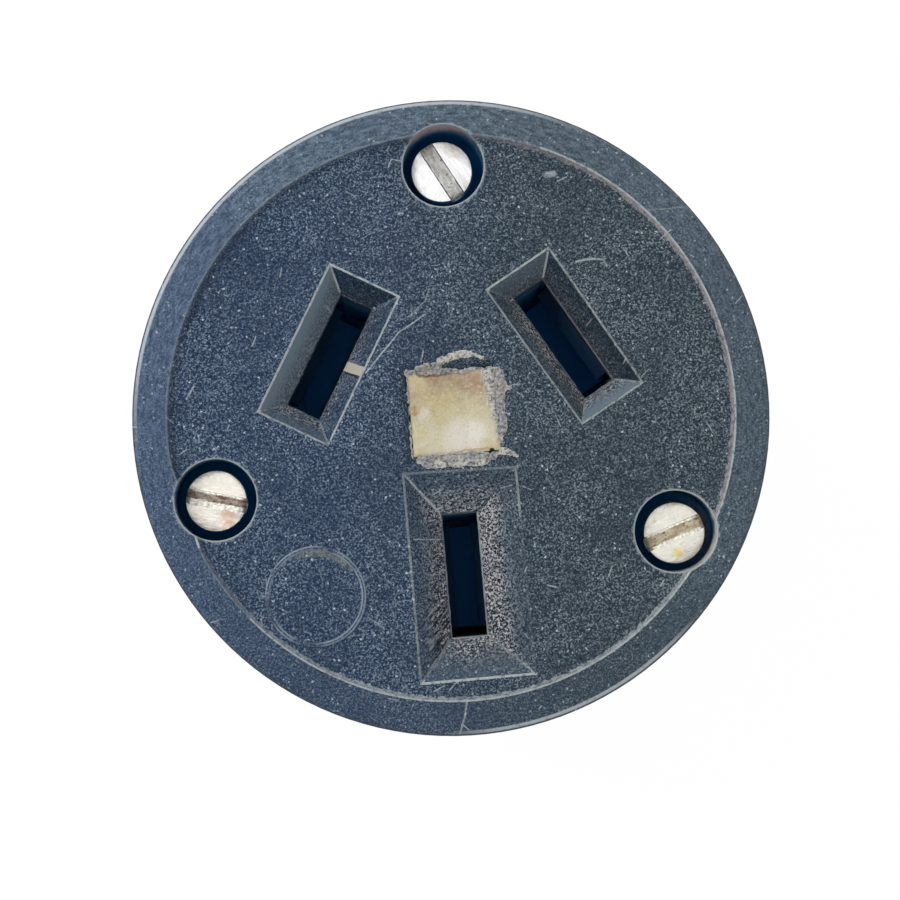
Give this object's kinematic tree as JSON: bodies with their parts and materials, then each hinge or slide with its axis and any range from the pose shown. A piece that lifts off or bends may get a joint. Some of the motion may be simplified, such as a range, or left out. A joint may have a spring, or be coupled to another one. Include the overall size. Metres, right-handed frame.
{
  "type": "straight blade cord connector",
  "caption": "Round moulded cord connector whose face has flat-blade slots with sloping entries, sunk slotted screws and a wax-sealed square recess.",
  "frame": {"origin": "centre of the flat rear end, round the cord hole, on which the connector stands", "axes": "+Z along the body's axis and out of the mating face; -Y towards the lower blade slot; +X to the right when the mating face is seen with the lower slot down"},
  "size_m": [0.0382, 0.0382, 0.042],
  "materials": {
    "phenolic": "compression-moulded, dull, dusty and finely speckled",
    "contact_brass": "rolled strip and turned pieces, dulled",
    "plated_steel": "plated screws, dulled and scratched",
    "clamp_steel": "plated strap",
    "fibre": "pressed fibre sheet",
    "wax": "poured, translucent and dusty"
  },
  "bodies": {
    "root": {"front_moulding": "phenolic", "rear_housing": "phenolic", "retaining_plate": "fibre", "sealing_wax": "wax", "retainer_nut": "contact_brass", "retainer_screw": "plated_steel", "clamp_saddle": "clamp_steel", "contact_left": "contact_brass", "terminal_screw_left": "contact_brass", "contact_right": "contact_brass", "terminal_screw_right": "contact_brass", "contact_lower": "contact_brass", "terminal_screw_lower": "contact_brass", "assembly_screw_top": "plated_steel", "body_insert_top": "contact_brass", "assembly_screw_left": "plated_steel", "body_insert_left": "contact_brass", "assembly_screw_right": "plated_steel", "body_insert_right": "contact_brass", "clamp_screw_left": "plated_steel", "clamp_insert_left": "contact_brass", "clamp_screw_right": "plated_steel", "clamp_insert_right": "contact_brass"}
  },
  "joints": []
}
